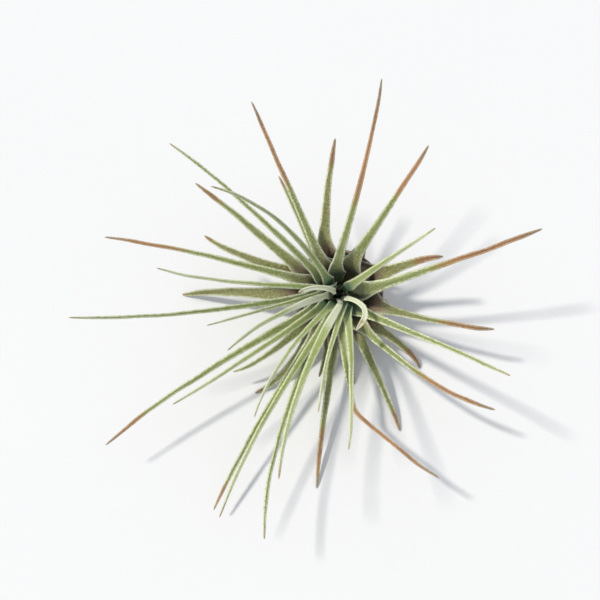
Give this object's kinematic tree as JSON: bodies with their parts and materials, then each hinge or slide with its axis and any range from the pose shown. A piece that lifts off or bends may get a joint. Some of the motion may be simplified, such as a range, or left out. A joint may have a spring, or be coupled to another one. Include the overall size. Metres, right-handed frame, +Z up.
{
  "type": "air plant",
  "caption": "Rootless rosette plant: narrow channelled leaves with dry tips fan from a small bulb, resting on a surface with its crown leaning forward.",
  "frame": {"origin": "middle of the level cut under the stem, on the surface that the plant rests on", "axes": "+Z up from the surface; the crown leans towards -Y, 28 degrees from upright; +X to the right as seen from -Y"},
  "size_m": [0.0932, 0.0887, 0.0477],
  "materials": {
    "green_leaf": "matte",
    "young_leaf": "matte",
    "heart_leaf": "matte",
    "dry_scale": "matte",
    "stem": "matte"
  },
  "bodies": {
    "root": {"dry_scale_1": "dry_scale", "dry_scale_2": "dry_scale", "dry_scale_3": "dry_scale", "dry_scale_4": "dry_scale", "ground_leaf_1": "green_leaf", "ground_leaf_2": "green_leaf", "ground_leaf_3": "green_leaf", "ground_leaf_4": "green_leaf", "ground_leaf_5": "green_leaf", "ground_leaf_6": "green_leaf", "ground_leaf_7": "green_leaf", "ground_leaf_8": "green_leaf", "heart_leaf_1": "heart_leaf", "heart_leaf_2": "heart_leaf", "heart_leaf_3": "heart_leaf", "inner_leaf_1": "young_leaf", "inner_leaf_2": "young_leaf", "inner_leaf_3": "young_leaf", "inner_leaf_4": "young_leaf", "inner_leaf_5": "young_leaf", "low_leaf_1": "green_leaf", "low_leaf_2": "green_leaf", "low_leaf_3": "green_leaf", "low_leaf_4": "green_leaf", "low_leaf_5": "green_leaf", "low_leaf_6": "green_leaf", "ring_leaf_1": "green_leaf", "ring_leaf_2": "green_leaf", "ring_leaf_3": "green_leaf", "ring_leaf_4": "green_leaf", "ring_leaf_5": "green_leaf", "stem": "stem", "upper_leaf_1": "green_leaf", "upper_leaf_2": "green_leaf", "upper_leaf_3": "green_leaf", "upper_leaf_4": "green_leaf", "upper_leaf_5": "green_leaf", "upper_leaf_6": "green_leaf", "upper_leaf_7": "green_leaf", "upper_leaf_8": "green_leaf", "young_leaf_1": "young_leaf", "young_leaf_2": "young_leaf", "young_leaf_3": "young_leaf", "young_leaf_4": "young_leaf", "young_leaf_5": "young_leaf"}
  },
  "joints": []
}
